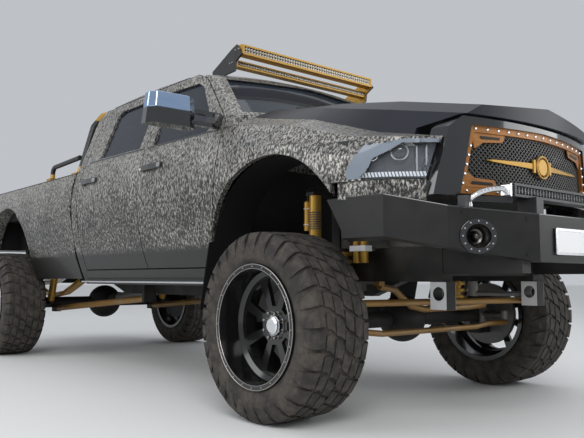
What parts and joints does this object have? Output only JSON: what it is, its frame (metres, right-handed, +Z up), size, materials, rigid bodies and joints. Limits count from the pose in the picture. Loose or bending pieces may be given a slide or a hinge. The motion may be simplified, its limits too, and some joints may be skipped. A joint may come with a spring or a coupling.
{
  "type": "pickup truck",
  "caption": "Lifted crew cab pickup truck with a long bed, mud tyres, roof and bumper light bars, a bed rack, opening doors, hood and tailgate, and linked steering.",
  "frame": {"origin": "on the ground under the centre of the overall bounding box", "axes": "+Z up, -Y forward, +X to the left side of the truck; the wheelbase runs along Y"},
  "size_m": [2.872, 6.483, 2.262],
  "materials": {
    "body_paint": "dark grey with a bright crushed metallic sheen",
    "hood_paint": "smooth near-black satin",
    "black_steel": "satin black powder coat",
    "gold_paint": "gold powder coat",
    "copper_paint": "copper orange satin paint",
    "gloss_black": "gloss black",
    "black_plastic": "matt black",
    "rim_black": "gloss black wheel with bright edges",
    "tyre_rubber": "dusty black",
    "window_glass": "dark tinted",
    "lamp_lens": "clear lamp lens",
    "seat_leather": "dark grey leather",
    "cast_metal": "bare cast metal",
    "bare_steel": "dull bare steel",
    "bare_aluminium": "bare aluminium core"
  },
  "bodies": {
    "chassis": {"arch_liners": "black_plastic", "bed": "body_paint", "bed_rack": "gold_paint", "cab_shell": "body_paint", "dashboard": "black_plastic", "driveline": "cast_metal", "engine_block": "cast_metal", "exhaust": "bare_steel", "fenders": "body_paint", "fog_lamps": "lamp_lens", "frame": "black_steel", "front_axle": "black_steel", "front_bumper": "black_steel", "fuel_tank": "black_plastic", "grille_frame": "copper_paint", "grille_mesh": "black_plastic", "grille_surround": "gloss_black", "headlights": "lamp_lens", "hitch_receiver": "black_steel", "light_bars": "gold_paint", "radiator": "bare_aluminium", "rear_axle": "black_steel", "rear_bumper": "black_steel", "rear_glass": "window_glass", "seats": "seat_leather", "springs_and_dampers": "gold_paint", "suspension_links": "gold_paint", "tail_lamps": "lamp_lens", "windshield": "window_glass"},
    "knuckle_left": {"knuckle_left": "cast_metal"},
    "knuckle_right": {"knuckle_right": "cast_metal"},
    "tie_rod": {"tie_rod": "black_steel"},
    "drag_link": {"drag_link": "black_steel"},
    "pitman_arm": {"pitman_arm": "cast_metal"},
    "wheel_front_left": {"rim_front_left": "rim_black", "tyre_front_left": "tyre_rubber"},
    "wheel_front_right": {"rim_front_right": "rim_black", "tyre_front_right": "tyre_rubber"},
    "wheel_rear_left": {"rim_rear_left": "rim_black", "tyre_rear_left": "tyre_rubber"},
    "wheel_rear_right": {"rim_rear_right": "rim_black", "tyre_rear_right": "tyre_rubber"},
    "door_front_left": {"door_front_left": "body_paint", "glass_front_left": "window_glass", "mirror_left": "gloss_black"},
    "door_front_right": {"door_front_right": "body_paint", "glass_front_right": "window_glass", "mirror_right": "gloss_black"},
    "door_rear_left": {"door_rear_left": "body_paint", "glass_rear_left": "window_glass"},
    "door_rear_right": {"door_rear_right": "body_paint", "glass_rear_right": "window_glass"},
    "hood": {"hood": "hood_paint"},
    "tailgate": {"tailgate": "body_paint"}
  },
  "joints": [
    {"name": "steer_right", "type": "hinge", "parent": "chassis", "child": "knuckle_right", "pos_m": [-0.8, -2.1035, 0.478], "axis": [0, 0, 1], "range_deg": [-30, 30]},
    {"name": "steer_left", "type": "hinge", "parent": "chassis", "child": "knuckle_left", "pos_m": [0.8, -2.1035, 0.478], "axis": [0, 0, 1], "range_deg": [-30, 30]},
    {"name": "tie_rod_ball", "type": "hinge", "parent": "knuckle_right", "child": "tie_rod", "pos_m": [-0.75, -2.3135, 0.478], "axis": [0, 0, 1], "range_deg": [-30, 30]},
    {"name": "drag_link_ball", "type": "hinge", "parent": "knuckle_right", "child": "drag_link", "pos_m": [-0.72, -2.4035, 0.59], "axis": [0, 0, 1], "range_deg": [-30, 30]},
    {"name": "pitman_turn", "type": "hinge", "parent": "chassis", "child": "pitman_arm", "pos_m": [0.38, -2.3335, 0.64], "axis": [0, 0, 1], "range_deg": [-30, 30]},
    {"name": "wheel_front_left_spin", "type": "hinge", "parent": "knuckle_left", "child": "wheel_front_left", "pos_m": [0.974, -2.1035, 0.478], "axis": [1, 0, 0], "continuous": true},
    {"name": "wheel_front_right_spin", "type": "hinge", "parent": "knuckle_right", "child": "wheel_front_right", "pos_m": [-0.974, -2.1035, 0.478], "axis": [1, 0, 0], "continuous": true},
    {"name": "wheel_rear_left_spin", "type": "hinge", "parent": "chassis", "child": "wheel_rear_left", "pos_m": [0.974, 1.9735, 0.478], "axis": [1, 0, 0], "continuous": true},
    {"name": "wheel_rear_right_spin", "type": "hinge", "parent": "chassis", "child": "wheel_rear_right", "pos_m": [-0.974, 1.9735, 0.478], "axis": [1, 0, 0], "continuous": true},
    {"name": "door_front_left_hinge", "type": "hinge", "parent": "chassis", "child": "door_front_left", "pos_m": [1.007, -1.5475, 1.2], "axis": [0, 0, -1], "range_deg": [0, 65]},
    {"name": "door_front_right_hinge", "type": "hinge", "parent": "chassis", "child": "door_front_right", "pos_m": [-1.007, -1.5475, 1.2], "axis": [0, 0, 1], "range_deg": [0, 65]},
    {"name": "door_rear_left_hinge", "type": "hinge", "parent": "chassis", "child": "door_rear_left", "pos_m": [1.007, -0.5975, 1.2], "axis": [0, 0, -1], "range_deg": [0, 65]},
    {"name": "door_rear_right_hinge", "type": "hinge", "parent": "chassis", "child": "door_rear_right", "pos_m": [-1.007, -0.5975, 1.2], "axis": [0, 0, 1], "range_deg": [0, 65]},
    {"name": "hood_hinge", "type": "hinge", "parent": "chassis", "child": "hood", "pos_m": [0, -1.6485, 1.793], "axis": [-1, 0, 0], "range_deg": [0, 55]},
    {"name": "tailgate_hinge", "type": "hinge", "parent": "chassis", "child": "tailgate", "pos_m": [0, 3.0965, 1.03], "axis": [-1, 0, 0], "range_deg": [0, 90]}
  ],
  "couplings": [
    {"joint": "steer_left", "follows": "steer_right", "ratio": 1},
    {"joint": "tie_rod_ball", "follows": "steer_right", "ratio": -1},
    {"joint": "drag_link_ball", "follows": "steer_right", "ratio": -1},
    {"joint": "pitman_turn", "follows": "steer_right", "ratio": 1}
  ]
}
